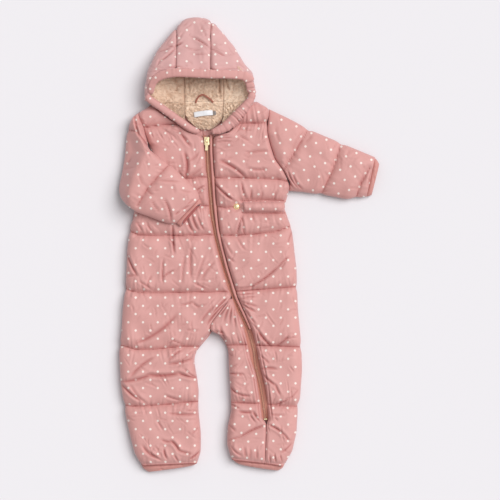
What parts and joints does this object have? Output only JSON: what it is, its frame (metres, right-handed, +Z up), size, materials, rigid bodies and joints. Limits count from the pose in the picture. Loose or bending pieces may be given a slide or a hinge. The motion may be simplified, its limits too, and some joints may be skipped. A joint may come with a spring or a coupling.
{
  "type": "baby snowsuit",
  "caption": "Quilted one-piece snowsuit for a baby, hooded, fleece lined, with a slanting front zip, laid flat with one sleeve folded over the chest.",
  "frame": {"origin": "middle of the footprint on the surface the suit lies on", "axes": "+Y from feet to hood, +X to the wearer's left, +Z up out of the front of the suit"},
  "size_m": [0.455, 0.7931, 0.0583],
  "materials": {
    "quilted_shell": "soft matt woven polyester, old pink with small cream dots, padded",
    "plain_shell": "the same cloth without dots, as a binding",
    "fleece_lining": "curly sherpa fleece, cream",
    "zip_tape": "woven tape, red brown",
    "zip_coil": "golden coil",
    "gold_metal": "polished gold",
    "loop_ribbon": "grosgrain ribbon, red brown",
    "white_label": "woven satin label, blank",
    "grey_label": "woven tab, dark grey, blank"
  },
  "bodies": {
    "suit": {"front_right": "quilted_shell", "front_left": "quilted_shell", "front_left_inner": "quilted_shell", "back_right": "quilted_shell", "back_left": "quilted_shell", "waist_casing": "quilted_shell", "sleeve_left": "quilted_shell", "sleeve_right": "quilted_shell", "cuff_binding_left": "plain_shell", "cuff_binding_right": "plain_shell", "hem_binding_left": "plain_shell", "hem_binding_right": "plain_shell", "hood_left": "quilted_shell", "hood_centre": "quilted_shell", "hood_right": "quilted_shell", "brow_band": "quilted_shell", "hood_edge_left": "quilted_shell", "hood_edge_right": "quilted_shell", "lining_left": "fleece_lining", "lining_centre": "fleece_lining", "lining_right": "fleece_lining", "lining_neck": "fleece_lining", "hanging_loop": "loop_ribbon", "neck_label": "white_label", "size_tab": "grey_label", "snap_cap": "gold_metal", "zip_tape_right": "zip_tape", "zip_tape_left": "zip_tape", "zip_coil": "zip_coil", "zip_welt": "plain_shell", "zip_stop": "gold_metal", "zip_slider": "gold_metal"},
    "pull_tab": {"zip_pull": "gold_metal"}
  },
  "joints": [
    {"name": "pull_tab_hinge", "type": "hinge", "parent": "suit", "child": "pull_tab", "pos_m": [-0.0738, 0.1812, 0.0202], "axis": [-1, 0, 0], "range_deg": [0, 105]}
  ]
}
